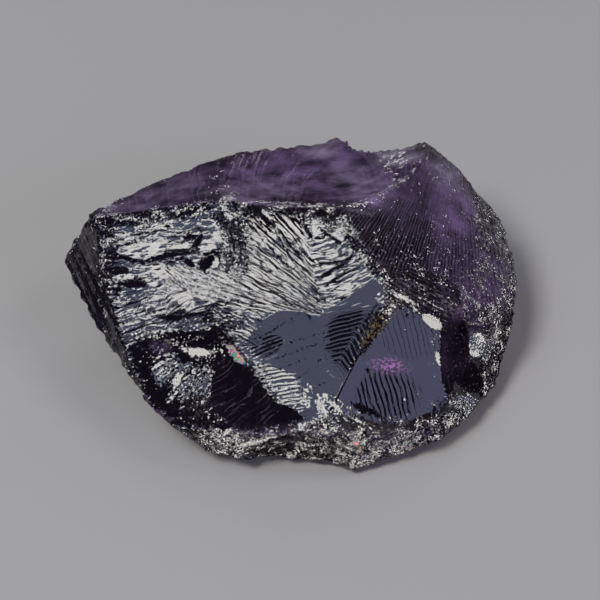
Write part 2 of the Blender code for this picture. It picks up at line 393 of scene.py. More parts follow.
def oval_reach(column, row, oval):
    """how far out a place is on an oval of the picture: 0 in its middle, 1 on its edge

    An oval is written as column and row of its middle, half its length and half its width, all in
    the picture's own points, and its turn in degrees.
    """
    middle_column, middle_row, length, width, turn = oval
    lean = math.radians(turn)
    x = column - middle_column
    y = row - middle_row
    along = x * math.cos(lean) + y * math.sin(lean)
    across = y * math.cos(lean) - x * math.sin(lean)
    return np.hypot(along / length, across / width)


def patch(column, row, oval, soft):
    """1 inside an oval of the picture, 0 outside, with a soft edge"""
    return 1 - rise(1 - soft, 1 + soft, oval_reach(column, row, oval))


def fine_relief(flat, rough):
    """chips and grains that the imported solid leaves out, millimetres"""
    torn = rise(0.1, 0.5, rough)
    return torn * sum(height * chips(flat, size, seed) for size, height, seed in FINE_CHIPS)


def settled(relief, near, second):
    """lowers what stands proud close to a ridge, so that the ridges stay where they are seen"""
    edge = np.exp(-(second - near) / RIDGE_SETTLED)
    return np.where(relief > 0, relief * (1 - edge), relief)


def hackles(flat, first):
    """the torn ledges of the west face, long across its slope"""
    west = first == index_of("west")
    x, y = HACKLES_RUN
    along = flat @ np.array((x, y, 0.0))
    down = flat @ np.array((y, -x, 0.0)) + HACKLES_WANDER * lumps(flat, 6.0, 31)
    level = np.zeros(len(flat))
    wide = chips(np.stack([along * 0.28, down, level], axis=1), *HACKLES)
    return np.where(west, HACKLE_HEIGHT * wide, 0.0)


def surface(directions):
    """the stone's surface point along each direction"""
    near, second, first, other = first_breaks(directions)
    flat = HEART + directions * near[:, None]
    rough = roughness(near, second, first, other)
    uneven = 0.7 * lumps(flat, *LUMPS) + 0.7 * chips(flat, *CHIPS) + 0.5 * ledges(flat) - 0.2
    west = first == index_of("west")
    fine = fine_relief(flat, np.where(west, WEST_ROUGH, rough))
    relief = rough * uneven + fine + hackles(flat, first)
    relief = settled(relief, near, second) - hollows(flat)
    height = np.clip(flat[:, 2] / TABLE_FADE, 0, 1)
    height = np.where(first == index_of("resting_face"), 0.0, height)
    return flat + directions * (relief * height)[:, None]


def top_grid():
    """the top patch of the gridded block, and the ring of point numbers round it"""
    line = np.linspace(-1, 1, TOP_CELLS + 1)
    x, y = np.meshgrid(line, line, indexing="ij")
    places = np.stack([x.ravel(), y.ravel(), np.ones(x.size)], axis=1)
    number = np.arange(x.size).reshape(x.shape)
    ring = np.concatenate([number[:-1, 0], number[-1, :-1], number[:0:-1, -1], number[0, :0:-1]])
    squares = np.stack([number[:-1, :-1], number[1:, :-1], number[1:, 1:], number[:-1, 1:]], axis=-1)
    return places, ring, squares.reshape(-1, 4)


def foot_of(ring_places):
    """how far down the block each column of the sides meets the resting face"""
    lying = index_of("resting_face")
    low = np.full(len(ring_places), BLOCK_FOOT)
    high = np.zeros(len(ring_places))
    for halving in range(30):
        middle = (low + high) / 2
        tried = ring_places.copy()
        tried[:, 2] = middle
        _, _, first, _ = first_breaks(looks(tried))
        rests = first == lying
        low = np.where(rests, middle, low)
        high = np.where(rests, high, middle)
    return high


def side_grid(ring_places, ring, first_number):
    """rows of points from the top patch down to the foot, their squares, and the last row"""
    foot = foot_of(ring_places)
    rows = []
    numbers = [ring]
    for row in range(1, SIDE_ROWS + 1):
        places = ring_places.copy()
        places[:, 2] = 1 + (foot - 1) * row / SIDE_ROWS
        rows.append(places)
        numbers.append(first_number + (row - 1) * len(ring) + np.arange(len(ring)))
    numbers = np.array(numbers)
    after = np.roll(numbers, -1, axis=1)
    squares = np.stack([numbers[:-1], numbers[1:], after[1:], after[:-1]], axis=-1)
    return np.concatenate(rows), squares.reshape(-1, 4), numbers[-1]


def across_ring(ring_places):
    """unit steps along the ring, for the sides' own slopes"""
    along = np.zeros_like(ring_places)
    on_x_side = np.abs(ring_places[:, 0]) >= np.abs(ring_places[:, 1])
    along[on_x_side, 1] = 1.0
    along[~on_x_side, 0] = 1.0
    return along


def stone_shape():
    """points and triangles of the visible stone, in millimetres"""
    top, ring, squares = top_grid()
    x_step = np.tile((1.0, 0.0, 0.0), (len(top), 1))
    y_step = np.tile((0.0, 1.0, 0.0), (len(top), 1))
    ring_places = top[ring]
    side, side_squares, foot_row = side_grid(ring_places, ring, len(top))
    moved_top = onto_ridges(top, x_step, y_step, 2 / TOP_CELLS)
    moved_top[ring] = ring_places
    along = np.tile(across_ring(ring_places), (SIDE_ROWS, 1))
    down = np.tile((0.0, 0.0, 1.0), (len(side), 1))
    moved_side = onto_ridges(side, along, down, 2 / TOP_CELLS)
    kept = len(ring) * (SIDE_ROWS - 2)
    moved_side[kept:] = side[kept:]
    places = np.concatenate([moved_top, moved_side])
    points = surface(looks(places))
    points[foot_row, 2] = 0.0
    gap = ridge_gap(places)
    squares = np.concatenate([squares, side_squares])
    first_way = gap[squares[:, 0]] + gap[squares[:, 2]] <= gap[squares[:, 1]] + gap[squares[:, 3]]
    a, b, c, d = squares.T
    one = np.where(first_way[:, None], np.stack([a, b, c], axis=1), np.stack([a, b, d], axis=1))
    two = np.where(first_way[:, None], np.stack([a, c, d], axis=1), np.stack([b, c, d], axis=1))
    middle = points[foot_row].mean(axis=0)
    middle[2] = 0.0
    under = np.stack([foot_row, np.full(len(foot_row), len(points)), np.roll(foot_row, -1)], axis=1)
    points = np.concatenate([points, middle[None]])
    return points, np.concatenate([one, two, under])


def fan(column, row, centre, step):
    """lines that all point at one place of the picture, step degrees apart: counted, and mm along"""
    x = centre[0] - column
    y = centre[1] - row
    return np.degrees(np.arctan2(y, x)) / step, np.hypot(x, y) / COLUMNS_PER_MM


def rings(column, row, centre, pitch):
    """rings round a place of the picture above them: counted, and mm along"""
    reach = np.hypot(column - centre[0], row - centre[1])
    return reach / pitch, np.arctan2(column - centre[0], row - centre[1]) * reach / COLUMNS_PER_MM


def arches(column, row, centre, pitch):
    """rings round a place of the picture below them"""
    return rings(column, 2 * centre[1] - row, centre, pitch)


def slanted(column, row, slope, pitch):
    """straight lines that sink slope rows a column, pitch rows apart: counted, and mm along"""
    return (row - slope * column) / pitch, (column + slope * row) / COLUMNS_PER_MM


def steep(column, row, slope, pitch):
    """straight lines that run down the picture, slope columns a row, pitch columns apart"""
    return slanted(row, column, slope, pitch)


def nested(column, row, bend, pitch):
    """nested hooks: flat arms that turn steeply down at their right end, one of them at bend"""
    x, y = column - bend[0], row - bend[1]
    hook = np.minimum(y + 0.25 * x, 0.41 * y - 0.767 * x)
    return (hook + bend[1]) / pitch, (column - row) / COLUMNS_PER_MM


class Lines:
    """a set of lines: layout, depth in mm, share of the flat between, how unruly, how much they pale, the
    paler colour being partly a painted highlight where line edges catch light
    """

    def __init__(self, layout, *numbers, depth=0.0, deeper=(), flat, wild, pale=0.0):
        self.layout = layout
        self.numbers = numbers
        self.depth = depth
        self.deeper = deeper
        self.kind = (flat, wild, pale)

    def at(self, column, row):
        """the lines counted, mm along them and their depth at each place of the picture"""
        count, run = self.layout(column, row, *self.numbers)
        depth = np.full(len(column), self.depth)
        for more, oval, soft in self.deeper:
            depth = depth + more * patch(column, row, oval, soft)
        return count, run, depth


# Where some sets of lines are, as ovals of the picture
BRIGHT_ARCS = (338, 272, 40, 20, -28)
HOOKED = (358, 345, 35, 31, 50)
STRIPED = (276, 388, 38, 19, 42)
LEFT_STEPPED = (267, 347, 17, 10, -23)
BLUE_LOW = (388, 396, 30, 27, 12)
BLUE_HIGH = (405, 335, 30, 22, 10)
FRONT_RIBBED = (400, 444, 22, 13, -20)
# Picture columns and rows where others begin or end. An edge is a line through a column and row
# that sinks so many rows a column. FLAMES_HIGH counts rows up from BORDER.
HOOKS_WEST = 326
STRIPES_EDGE = (255, 361, 0.30)
STRIPES_EAST = 318
FLAMES_WEST = 280
FLAMES_HIGH = 18
BARBS_EDGE = (306, 230, 5.0)
BARBS_FOOT = 312
MAIN_WAVES_EAST = 262
MAIN_WAVES_ROWS = (318, 345)
DRIFT_TOP = 262
WEST_LOW_TOP = 290
SLABS_EAST = 165
# Pitches are in the picture's points, or degrees in a fan. deeper is how much deeper the lines are
# within an oval, and how soft its edge is. A depth below 0 stands proud.
LINES = {
    # Fine dark lines that run down to the right over the left of the main face
    "barbs": Lines(fan, (385, 345), 1.9, depth=0.06, flat=0.40, wild=0.8),
    # Dark arcs in the bright right of the main face, and bright streaks along its lower edge
    "arcs": Lines(rings, (305, 160), 6.0, depth=0.030, deeper=[(0.032, BRIGHT_ARCS, 0.5)],
                  flat=0.50, wild=0.8),
    "flames": Lines(rings, (305, 160), 5.0, depth=-0.034, flat=0.45, wild=1.0),
    # Dark hooks, bright stripes and short dark steps on the blue part of the main face
    "hooks": Lines(nested, (360, 326), 4.3, deeper=[(0.085, HOOKED, 0.35)], flat=0.28, wild=0.1),
    "stripes": Lines(slanted, -0.15, 4.3, deeper=[(-0.036, STRIPED, 0.25)], flat=0.34, wild=0.3),
    "left_steps": Lines(slanted, -0.42, 4.2, deeper=[(0.07, LEFT_STEPPED, 0.12)], flat=0.45, wild=0.2),
    # Fine hackle lines of the east face, fanning down from beyond its top edge
    "east_lines": Lines(fan, (462, 90), 1.12, depth=0.030, flat=0.35, wild=0.45, pale=1.0),
    # Near upright dark lines of the blue east face
    "blue_lines": Lines(steep, 0.26, 5.2, deeper=[(-0.05, BLUE_LOW, 0.3), (-0.02, BLUE_HIGH, 0.6)],
                        flat=0.55, wild=0.25),
    # Splinters along the narrow strip
    "strip_lines": Lines(slanted, 0.50, 4.6, depth=0.06, flat=0.35, wild=0.7, pale=0.5),
    # On the west face: slanting ledges low at the left, ledges that arch over its lower right, faint
    # lines down to the right over its middle, and short dark breaks between its upper plates
    "west_slabs": Lines(slanted, -0.32, 5.5, depth=0.07, flat=0.45, wild=0.8),
    "west_waves": Lines(arches, (225, 380), 4.6, depth=-0.05, flat=0.45, wild=0.7),
    "west_drift": Lines(slanted, 0.65, 3.6, depth=0.016, flat=0.55, wild=0.9),
    "west_ripples": Lines(slanted, -0.20, 7.0, depth=0.05, flat=0.55, wild=1.0),
    # Lengthwise splinters of the left cheek
    "cheek_lines": Lines(steep, 0.46, 4.0, depth=0.05, flat=0.40, wild=0.8, pale=0.3),
    # Faint ribs that curve over the back
    "back_lines": Lines(arches, (330, 200), 7.0, depth=0.035, flat=0.30, wild=1.0, pale=0.6),
    # Curling hair lines in the dark hollow at the front
    "south_lines": Lines(rings, (190, 330), 5.5, depth=0.05, flat=0.75, wild=1.0, pale=1.0),
    # Ribs of the small round break at the front right
    "front_arcs": Lines(rings, (450, 400), 3.8, depth=0.06, flat=0.3, wild=0.4, pale=0.4),
}


# The breaks that the picture shows, but for those behind the crest
UPPER = ("main", "east", "west", "blue_east", "strip", "dark_east", "dark_south", "rim_west", "east_rim",
         "rim_southwest", "rim_southeast", "rim_east", "south_scoop", "cheek")
BACK = ("back_bowl", "back_west", "back_notch")
EASTERN = ("east", "east_rim", "strip", "dark_east")
# The glassy breaks whose common ridges are clean
CLEAN = ("west", "main", "blue_east")
# Column that ends, and row that begins, the low left end of the stone
LOW_LEFT = (150, 335)
# Row at which the calm part of the main face ends
CALM_FOOT = 396
# Row down to which the grains near the crest flash more
CREST_FOOT = 262
# Column up to which the grains of the east faces flash less
EAST_END = 475
# Row below which the upper faces get a painted glow: paler violet painted where light shines through
PAINTED_GLOW_TOP = 335
# Rows between which the pale dots on the east faces, dust and in part painted glints, grow denser
DUST_AND_GLINT_ROWS = (190, 270)
# How far back the iron stain goes, mm
IRON_BACK = 8
# Softness of the edge of what is told by a list of ovals
SOFT_EDGE = 0.45
# Lower edge of the bright part of the main face: picture columns, and the row at each
BORDER = ((236, 249, 258, 279, 300, 318, 342, 360, 375), (345, 337, 322, 310, 311, 316, 301, 289, 277))


class Spots:
    """places on the stone: the break that each lies on, the next one, and where the picture shows it"""

    def __init__(self, points):
        look = points - HEART
        directions = look / np.linalg.norm(look, axis=1)[:, None]
        near, second, self.first, self.other = first_breaks(directions)
        self.points = points
        self.gap = second - near
        self.rough = roughness(near, second, self.first, self.other)
        self.column, self.row = picture(points)
        self.border = np.interp(self.column, *BORDER)
        self.up = self.lie_on(*UPPER)
        self.back = self.lie_on(*BACK)
        self.shown = self.up | self.back
        self.crest = (self.back & self.next_to(*UPPER)) | (self.up & self.next_to(*BACK))
        self.bright_main = self.lie_on("main") & (self.row < self.border)
        self.low_left = (self.column < LOW_LEFT[0]) & (self.row > LOW_LEFT[1])

    def lie_on(self, *names):
        """true where a place lies on one of these breaks"""
        return np.isin(self.first, [index_of(name) for name in names])

    def next_to(self, *names):
        """true where the nearest other break is one of these"""
        return np.isin(self.other, [index_of(name) for name in names])

    def patch(self, oval, soft):
        """1 inside an oval of the picture, 0 outside, with a soft edge"""
        return patch(self.column, self.row, oval, soft)

    def ovals(self, places):
        """the strongest of a list of ovals; each has how much it counts as its last value"""
        most = np.zeros(len(self.column))
        for *oval, much in places:
            most = np.maximum(most, much * self.patch(oval, SOFT_EDGE))
        return most

    def below(self, column, row, slope):
        """true below the line of the picture through a column and row that sinks slope rows a column"""
        return self.row > row + slope * (self.column - column)

    def striped(self):
        """true on the lower left of the main face, which is striped"""
        return self.below(*STRIPES_EDGE) & (self.column < STRIPES_EAST)


def lines_at(spots):
    """which set of lines each place belongs to, as a number in LINES, or -1; later sets go over earlier"""
    column, row = spots.column, spots.row
    main, west = spots.lie_on("main"), spots.lie_on("west")
    upper = spots.bright_main
    lower = main & ~upper
    hook_end = HOOKS_WEST + 4 * np.sin(2.3 * np.floor(LINES["hooks"].at(column, row)[0]))
    low_west = west & (row > WEST_LOW_TOP)
    waves_top, waves_foot = MAIN_WAVES_ROWS
    places = (
        ("hooks", lower & (spots.patch(HOOKED, 0.35) > 0) & (column > hook_end)),
        ("stripes", lower & spots.striped()),
        ("left_steps", lower & (spots.patch(LEFT_STEPPED, 0.12) > 0)),
        ("arcs", upper),
        ("flames", upper & (row > spots.border - FLAMES_HIGH) & (column > FLAMES_WEST)),
        ("barbs", upper & spots.below(*BARBS_EDGE) & (row < BARBS_FOOT)),
        ("west_waves", main & (row > waves_top) & (row < waves_foot) & (column < MAIN_WAVES_EAST)),
        ("west_ripples", west),
        ("west_drift", west & (row > DRIFT_TOP) & (column > SLABS_EAST)),
        ("west_waves", low_west & (column > SLABS_EAST)),
        ("west_slabs", low_west & (column <= SLABS_EAST)),
        ("front_arcs", spots.lie_on("rim_southeast") & (spots.patch(FRONT_RIBBED, 0.1) > 0.5)),
        ("east_lines", spots.lie_on("east", "east_rim")),
        ("blue_lines", spots.lie_on("blue_east")),
        ("strip_lines", spots.lie_on("strip")),
        ("south_lines", spots.lie_on("dark_south")),
        ("cheek_lines", spots.lie_on("cheek")),
        ("back_lines", spots.back),
    )
    chosen = np.full(len(column), -1)
    for name, here in places:
        chosen[here] = list(LINES).index(name)
    return chosen


def step_lines(points, triangles):
    """what each corner of each triangle says of its lines: count, run and depth; flat, wild and pale"""
    chosen = lines_at(Spots(points[triangles].mean(axis=1)))
    column, row = picture(points)
    bend = LINE_BEND * lumps(points, 2.2, 41)
    place = np.zeros((*triangles.shape, 3))
    kind = np.zeros((*triangles.shape, 3))
    for number, lines in enumerate(LINES.values()):
        faces = chosen == number
        corners = triangles[faces].ravel()
        count, run, depth = lines.at(column[corners], row[corners])
        place[faces] = np.stack([count + bend[corners], run, depth], axis=1).reshape(-1, 3, 3)
        kind[faces] = lines.kind
    return place.reshape(-1, 3), kind.reshape(-1, 3)


def row_of(oval, number, spacing):
    """a row of like ovals side by side, each a fixed step across from the last"""
    column, row, length, width, turn = oval
    lean = math.radians(turn)
    steps = [spacing * (n - (number - 1) / 2) for n in range(number)]
    return [(column - s * math.sin(lean), row + s * math.cos(lean), length, width, turn) for s in steps]


def crumbs(start, end, number, size):
    """a chain of small ovals from one place to another, each a little off the line"""
    chain = []
    for n in range(number):
        share = (n + 0.5) / number
        column = start[0] + share * (end[0] - start[0]) + 1.2 * math.sin(5.1 * n)
        row = start[1] + share * (end[1] - start[1]) + 1.2 * math.sin(3.7 * n)
        length = size * (1.2 + 0.6 * math.sin(2.9 * n))
        chain.append((column, row, length, size, 40 * math.sin(n)))
    return chain


# Thin cracks that show bands of colour
FILMS = [
    (236, 355, 14, 5, 48), (357, 443, 5, 4, 0), (359, 451, 3, 4, 30), (410, 445, 10, 1.6, -45),
    (422, 443, 3, 1.2, 0),
]
# Small facets that mirror the window
WINDOW_FACETS = [
    # The thin cracks
    *FILMS,
    # West face and cheek
    (142, 251, 26, 8, -8), (215, 231, 5, 14, -22), (207, 246, 9, 6, -20), (122, 299, 5, 8, 10),
    (137, 322, 18, 1.6, -17), (152, 315, 20, 1.8, -17), (190, 227, 8, 3, -20), (180, 247, 12, 3, -10),
    (155, 226, 10, 3, -15), (128, 238, 13, 3, -25), (170, 222, 9, 2, -12), (142, 234, 9, 2.4, -28),
    (176, 232, 10, 2, -8), (160, 243, 12, 2, -14), (212, 262, 7, 8, 20), (160, 272, 20, 6, 6),
    (150, 266, 16, 3, -4), *row_of((206, 284, 33, 1.8, 16), 6, 5.6), (180, 296, 18, 6, 30),
    (158, 285, 12, 4, 20), (112, 282, 3, 9, 15), (165, 331, 30, 1.4, -5), (150, 337, 14, 1.2, -8),
    # East faces and right rim
    (433, 322, 12, 6, 33), (439, 359, 3.2, 10, -18), (402, 297, 17, 2.6, 26), (414, 308, 9, 1.2, 40),
    (419.5, 390.5, 1.2, 1.2, 0), (416.5, 397, 1.2, 1.2, 0), (402, 153, 5, 1.6, -10),
    (388, 163, 9, 1.0, -60), (465, 291, 5, 1.2, 60), (478, 304, 3, 1.5, 40), (494, 340, 1.5, 14, 20),
    *row_of((466, 403, 10, 1.0, 35), 4, 5.5), (430, 303, 14, 0.7, 28), (477, 345, 9, 13, 10),
    # Main face
    (266, 214, 7, 2.6, 45), (317, 231, 4.5, 11, -12), (336, 233, 4, 2.5, -20), (342, 238, 4, 2, -40),
    *row_of((318, 404, 19, 1.1, 38), 5, 4.4),
    # Hollow at the front left
    (199, 352, 15, 4.2, 6), (184, 350, 16, 1.2, 37), (190, 342, 13, 1.2, -35), (178, 378, 9, 4, -60),
    (203, 402, 8, 1.5, -35), (209, 396, 6, 1.3, -50), *row_of((165, 366, 12, 1.5, 59), 5, 6.0),
    *row_of((185, 384, 12, 1.4, 66), 5, 5.5), *row_of((203, 374, 10, 1.1, 72), 4, 4.6),
    *row_of((176, 400, 8, 0.9, 30), 3, 6.0),
    # Front rim
    (336, 407, 10, 2.4, 38), (358, 421, 16, 1.6, 30), (302, 424, 17, 1.6, -8), (306, 430, 14, 1.2, 5),
    *row_of((350, 437, 9, 1.0, 50), 3, 4.4), (344, 446, 12, 1.4, 25), (404, 464, 44, 1.2, -21),
    (252, 443, 16, 2.4, -12), (275, 440, 12, 3, 10), (228, 432, 9, 2.4, -30),
    *row_of((334, 407, 17, 1.0, 38), 4, 5.5), *row_of((400, 444, 12, 0.9, -55), 4, 6.0),
    # Crumbs along the crest and its branches
    *crumbs((244, 203), (346, 206), 18, 0.8), *crumbs((346, 207), (382, 200), 10, 1.0),
    *crumbs((382, 200), (402, 164), 10, 1.0), *crumbs((376, 262), (390, 284), 7, 1.0),
]
# Small facets that mirror the dim sky
SKY_FACETS = [
    # West face and cheek
    (137, 292, 14, 6, -15), (135, 303, 7, 5, 0), (127, 229, 10, 3, -10), (173, 238, 7, 3.5, 0),
    (190, 224, 9, 4, -30), (208, 226, 8, 5, 45), (196, 327, 17, 3.6, -8), (141, 329, 12, 2, -12),
    # Hollow at the front left
    (186, 384, 10, 3, -40), (185, 367, 9, 3, -30), *row_of((168, 371, 12, 1.6, 59), 6, 6.0),
    *row_of((187, 388.5, 9, 1.5, 66), 4, 5.5), *row_of((161, 376, 9, 1.6, 56), 3, 5.0),
    *row_of((203, 385, 12, 1.6, 72), 4, 4.6),
    # Main face
    (310, 292, 13, 3.5, 5), (333, 296, 9, 2.6, -12), (361, 299, 23, 9, -44), (346, 309, 14, 5, -12),
    (372, 286, 5, 9, 30),
    # East faces and right rim
    (468, 297, 11, 3.2, 40), *row_of((477, 345, 10, 1.5, -50), 7, 4.0), (490, 350, 3, 15, 20),
    (446, 170, 12, 9, 40), (466, 405, 14, 9, 20),
    # Front rim
    (330, 420, 12, 2, 38), (393, 437, 12, 4, -50),
]
# Cuts and pits that mirror nothing bright
DARK_CUTS = [
    # West face and cheek
    (111, 255, 6, 10, 10), (129, 259, 14, 2.4, 18), (168, 256, 28, 2.6, -12), (180, 252, 14, 3, 0),
    (190, 263, 7, 3, 30), (198, 241, 3, 8, 25), (133, 284, 13, 4, 3), (117, 270, 12, 4, 5),
    (207, 263, 9, 5, -50), (170, 317, 14, 2.6, 3), (200, 314, 18, 1.8, -4), (190, 334, 26, 2, -3),
    (116, 290, 4, 8, -20), (128, 244, 12, 1.2, -16), (140, 234, 12, 1.2, -12), (215, 305, 4, 2, -30),
    *row_of((85, 290, 45, 2.2, 64), 4, 8.0),
    # Hollow at the front left
    (198, 343, 12, 3.4, 2),
    # Main face
    (266, 220, 13, 2.4, 41), (257, 211, 4, 7, 10), (284, 247, 16, 0.9, 60), (291, 246, 15, 1.0, 47),
    (305, 254, 13, 0.8, 42), (274, 252, 14, 0.9, 47), (290, 267, 9, 0.8, 33), (308, 231, 14, 1.8, 62),
    (330, 236, 14, 1.8, 37), (318, 238, 7, 1.2, -5), (333, 270, 19, 2.0, -32), (338, 278, 14, 1.5, -32),
    (335, 262, 16, 1.0, -8), (350, 257, 5, 1.4, -50), (322, 300, 7, 0.9, -15), (270, 345, 8, 1.6, -23),
    (368, 370.5, 2.4, 1.1, 40), (309, 317, 4, 1.0, 40), (245, 286, 14, 0.9, 28), (283, 298, 14, 0.8, 38),
    (372, 333, 5, 22, 28), (232, 300, 9, 1.0, 20), (300, 350, 24, 0.5, -20), (288, 366, 20, 0.5, -24),
    (312, 336, 16, 0.4, -16), (306, 372, 12, 0.4, -40), (272, 330, 14, 0.4, -30),
    (262, 336, 12, 0.5, -26), (318, 386, 9, 0.4, -30),
    # Front rim
    (368, 410, 18, 2.4, 27), (359, 409, 8, 2.0, 40), (300, 421, 18, 1.2, -4), (250, 428, 24, 1.4, 2),
    (262, 413, 34, 7, 6), (287, 413, 19, 6, 24),
    # East faces and right rim
    (465, 181, 14, 3.5, 55), (449, 352, 9, 42, 0), (466, 374, 13, 22, -40), (461, 340, 8, 26, -6),
    *row_of((376, 316, 13, 0.9, -50), 4, 4.0),
]
# Where the window, the dim sky and the dark of the room are: compass from +X and height, degrees
WINDOW_WAY = (220, 58)
SKY_WAY = (192, 62)
DARK_WAY = (110, 42)
# Share of the crushed grains that flash in the window light
FLASHING = 0.34
# Picture columns to a facet's edge where there is none near, and mm where the whole break is one
FAR_OFF = 20.0
WELL_INSIDE = -0.5


def mirror_way(compass, height):
    """the way a facet faces that mirrors that direction towards the view of the picture"""
    halfway = way(compass, height) - FORWARD
    return halfway / np.linalg.norm(halfway)


def facet_edge(spots, facets, where):
    """mm from each place to the edge of the nearest facet of a list, below 0 inside it"""
    nearest = np.full(len(spots.column), FAR_OFF)
    for oval in facets:
        beyond = oval_reach(spots.column, spots.row, oval) - 1
        nearest = np.minimum(nearest, beyond * min(oval[2:4]))
    return np.where(where, nearest, FAR_OFF) / COLUMNS_PER_MM


# Places of the picture where the quartz is crushed to grains: oval and how much, as in the lists below
GRAINY = (
    (104, 270, 7, 70, 4, 1.0), (150, 216, 60, 7, -8, 1.0), (232, 232, 15, 40, -8, 0.9),
    (260, 209, 45, 7, -2, 0.9), (320, 213, 40, 7, 6, 0.9), (336, 222, 26, 9, 38, 0.9),
    (364, 256, 40, 5, 52, 0.9), (390, 297, 13, 7, 20, 0.7), (381, 321, 30, 5, -52, 0.8),
    (180, 341, 40, 6, 4, 0.7), (500, 350, 14, 50, 10, 0.9), (480, 312, 24, 12, 0, 0.6),
    (397, 158, 15, 11, -30, 0.45),
)
# Places whose grains lie on a face that mirrors nothing bright
SHADED = (
    (150, 216, 60, 6, -8, 1.0), (232, 236, 13, 36, -8, 0.4), (300, 210, 70, 6, 3, 1.0),
    (104, 270, 6, 70, 4, 1.0), (364, 256, 40, 5, 52, 0.8), (180, 341, 40, 5, 4, 0.4),
    (500, 350, 14, 50, 10, 0.9), (480, 312, 22, 14, 0, 0.8), (425, 297, 32, 10, 27, 0.95),
    (300, 446, 120, 15, 0, 0.75), (420, 434, 50, 12, -22, 0.75),
)
# Pale haze of fine cracks inside, which on the upper east face is also a painted grey sheen
HAZE_AND_SHEEN = (
    (318, 146, 20, 12, 10, 0.6), (398, 154, 26, 11, -12, 1.0), (446, 172, 20, 18, 40, 0.35),
    (362, 186, 44, 18, 20, 0.3), (250, 192, 50, 12, -5, 0.3), (150, 198, 60, 14, -18, 0.25),
)
# Iron stain
STAINED = (
    (381, 321, 33, 7, -52, 1.0), (390, 425, 60, 8, -8, 0.30), (300, 448, 90, 12, 3, 0.45),
    (493, 338, 4, 16, 20, 0.6), (169, 344, 3, 5, -40, 0.7),
)
# Pink glow painted inside, under the blue east face: a painted reflection of light within the stone
PAINTED_PINK_GLOW = (389, 366, 17, 8, 8)
# Beige powder left by the crushing
POWDERED = (
    (235, 442, 50, 14, 12, 0.65), (330, 440, 50, 16, 0, 0.8), (410, 440, 60, 18, -20, 0.8),
    (480, 385, 26, 30, -50, 0.45), (496, 300, 12, 70, 4, 0.6), (494, 232, 16, 44, -30, 0.8),
    (176, 398, 42, 22, 38, 0.45),
)
# Paler violet painted where light glows through the stone from below: painted light
PAINTED_GLOW = (
    (452, 212, 24, 44, -14, 1.0), (430, 190, 40, 40, 0, 0.55), (470, 280, 40, 50, 0, 0.55),
    (420, 300, 30, 14, 28, 0.15), (372, 186, 34, 22, 20, 1.0), (330, 170, 60, 34, 0, 0.8),
    (270, 180, 60, 30, -10, 0.8), (160, 195, 70, 26, -18, 0.65), (312, 146, 24, 14, 10, 0.75),
    (160, 346, 13, 7, 0, 0.7), (313, 436, 20, 6, 10, 0.4), (367, 456, 7, 6, 0, 0.4),
    (383, 438, 14, 8, 0, 0.4), (425, 427, 14, 5, -20, 0.3), (455, 350, 16, 40, 0, 0.3),
    (451, 208, 16, 24, -10, 1.0), (290, 437, 60, 10, 0, 0.35), (400, 437, 50, 10, -15, 0.30),
)


def grain_share(spots):
    """how crushed the quartz is: at the rim, at the ridges and where the picture shows it"""
    rim = np.select([spots.lie_on("cheek"), spots.lie_on("east_rim"), spots.low_left], [0.45, 0.6, 0.3], 0.9)
    crushed = rim * rise(0.30, 0.50, spots.rough)
    ridge = np.exp(-spots.gap / np.where(spots.crest, CREST_GRAIN, RIDGE_GRAIN))
    ridge = ridge * np.select([spots.crest, spots.back], [0.9, 0.15], 0.5)
    clean = spots.lie_on(*CLEAN) & spots.next_to(*CLEAN)
    torn = spots.lie_on("west") & ~spots.crest
    grain = np.select([torn, clean], [0.12, 0.0], np.maximum(crushed, ridge))
    return np.maximum(grain, spots.shown * spots.ovals(GRAINY))


def sparkle_share(spots, grain):
    """the share of the grains that flash in the window light: in clusters, most below the crest"""
    clusters = rise(-0.25, 0.45, lumps(spots.points, 1.3, 51))
    cheek = spots.lie_on("cheek")
    east = spots.lie_on(*EASTERN)
    few = np.select([(east & (spots.column < EAST_END)) | cheek, spots.low_left], [0.45, 0.3], 1.0)
    few = np.where(spots.lie_on("rim_west"), 0.5 * few, few)
    below_crest = (spots.row < CREST_FOOT) & ~east & ~cheek
    few = np.select([spots.crest, below_crest], [1.0, 1.5], few)
    return FLASHING * grain * clusters * few * spots.shown


def painted_glow_share(spots):
    """paler violet painted where light glows through from below, also all round the hidden sides: painted
    light
    """
    violet = spots.back | spots.lie_on(*EASTERN) | (spots.up & (spots.row > PAINTED_GLOW_TOP))
    painted_glow = np.where(spots.shown, spots.ovals(PAINTED_GLOW) * violet, 0.5)
    return painted_glow * np.where(spots.lie_on("strip"), 0.3, 1.0)


def dust_and_glints_share(spots):
    """fine pale dots, most of them low on the east faces: dust, and in part painted glints"""
    top, foot = DUST_AND_GLINT_ROWS
    east = spots.lie_on(*EASTERN) * np.clip((spots.row - top) / (foot - top), 0.15, 0.8)
    return east * np.where(spots.lie_on("strip"), 0.3, 1.0) + 0.2 * spots.back


def powder_share(spots, grain):
    """beige powder between the grains, also all round the hidden sides"""
    hidden = 0.4 * rise(0.30, 0.50, spots.rough) * ~spots.shown
    return np.where(spots.up, spots.ovals(POWDERED) * rise(0.2, 0.6, grain), hidden)


def torn_share(spots):
    """how far splinters lean on the torn breaks"""
    west = np.where(spots.lie_on("west"), 0.45, 0.0)
    return west + 0.10 * spots.bright_main + 0.4 * spots.lie_on(*EASTERN) + 0.15 * spots.back


def shaded_share(spots):
    """how far the grains face the dark part of the room"""
    broad = 0.8 * spots.lie_on("rim_west") + 0.5 * spots.back
    return np.maximum(broad, spots.up * spots.ovals(SHADED))


def mirrored(spots, film):
    """mm from each place to the edge of the facets that mirror the window, the sky and nothing bright"""
    calm = spots.lie_on("main") & (spots.row > spots.border) & (spots.row < CALM_FOOT) & ~spots.striped()
    dark = spots.lie_on("dark_south") & (film < 0.5)
    return {"window_edge": facet_edge(spots, WINDOW_FACETS, spots.shown),
            "sky_edge": np.where(calm, WELL_INSIDE, facet_edge(spots, SKY_FACETS, spots.shown)),
            "dark_edge": np.where(dark, WELL_INSIDE, facet_edge(spots, DARK_CUTS, spots.up))}


